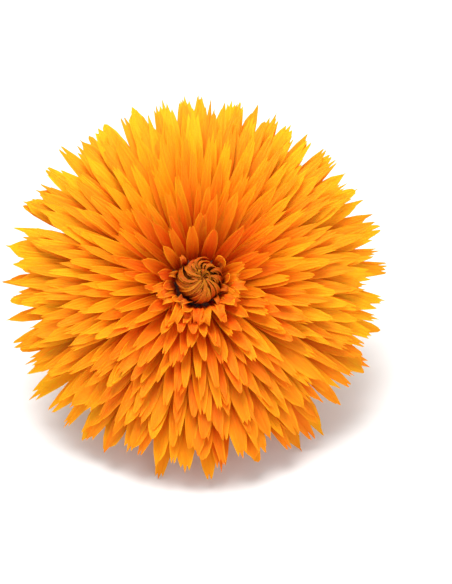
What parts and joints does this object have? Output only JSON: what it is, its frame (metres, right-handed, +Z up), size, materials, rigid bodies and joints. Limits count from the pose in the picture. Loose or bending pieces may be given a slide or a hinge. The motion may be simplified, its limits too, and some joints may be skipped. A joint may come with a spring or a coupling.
{
  "type": "double sunflower",
  "caption": "Picked double sunflower: a full dome of overlapping orange and yellow petals around a furled middle, on a short bent green stem, lying with its face up and forward.",
  "frame": {"origin": "middle of the footprint, on the surface the flower lies on", "axes": "+Z up; +Y back along the stem towards its cut end; the bloom faces -Y and up at 45 degrees; X across the bloom"},
  "size_m": [0.15, 0.2058, 0.1046],
  "materials": {
    "outer_ray": "fresh petal, satin, deep yellow over orange",
    "inner_ray": "fresh petal, satin, orange, redder towards the middle",
    "young_floret": "young furled petal, matte, brown orange",
    "bract": "green leaf, matte, finely hairy",
    "stem": "green plant stem, satin, ribbed and bristly"
  },
  "bodies": {
    "root": {"stem": "stem", "outer_bract_01": "bract", "outer_bract_02": "bract", "outer_bract_03": "bract", "outer_bract_04": "bract", "outer_bract_05": "bract", "outer_bract_06": "bract", "outer_bract_07": "bract", "outer_bract_08": "bract", "outer_bract_09": "bract", "outer_bract_10": "bract", "outer_bract_11": "bract", "outer_bract_12": "bract", "outer_bract_13": "bract", "inner_bract_01": "bract", "inner_bract_02": "bract", "inner_bract_03": "bract", "inner_bract_04": "bract", "inner_bract_05": "bract", "inner_bract_06": "bract", "inner_bract_07": "bract", "inner_bract_08": "bract", "outer_ray_01": "outer_ray", "outer_ray_02": "outer_ray", "outer_ray_03": "outer_ray", "outer_ray_04": "outer_ray", "outer_ray_05": "outer_ray", "outer_ray_06": "outer_ray", "outer_ray_07": "outer_ray", "outer_ray_08": "outer_ray", "outer_ray_09": "outer_ray", "outer_ray_10": "outer_ray", "outer_ray_11": "outer_ray", "outer_ray_12": "outer_ray", "outer_ray_13": "outer_ray", "outer_ray_14": "outer_ray", "outer_ray_15": "outer_ray", "outer_ray_16": "outer_ray", "outer_ray_17": "outer_ray", "outer_ray_18": "outer_ray", "outer_ray_19": "outer_ray", "outer_ray_20": "outer_ray", "outer_ray_21": "outer_ray", "outer_ray_22": "outer_ray", "outer_ray_23": "outer_ray", "outer_ray_24": "outer_ray", "ray_ring_01": "inner_ray", "ray_ring_02": "inner_ray", "ray_ring_03": "inner_ray", "ray_ring_04": "inner_ray", "ray_ring_05": "inner_ray", "ray_ring_06": "inner_ray", "ray_ring_07": "inner_ray", "ray_ring_08": "inner_ray", "ray_ring_09": "inner_ray", "ray_ring_10": "inner_ray", "ray_ring_11": "inner_ray", "ray_ring_12": "inner_ray", "young_florets": "young_floret"}
  },
  "joints": []
}
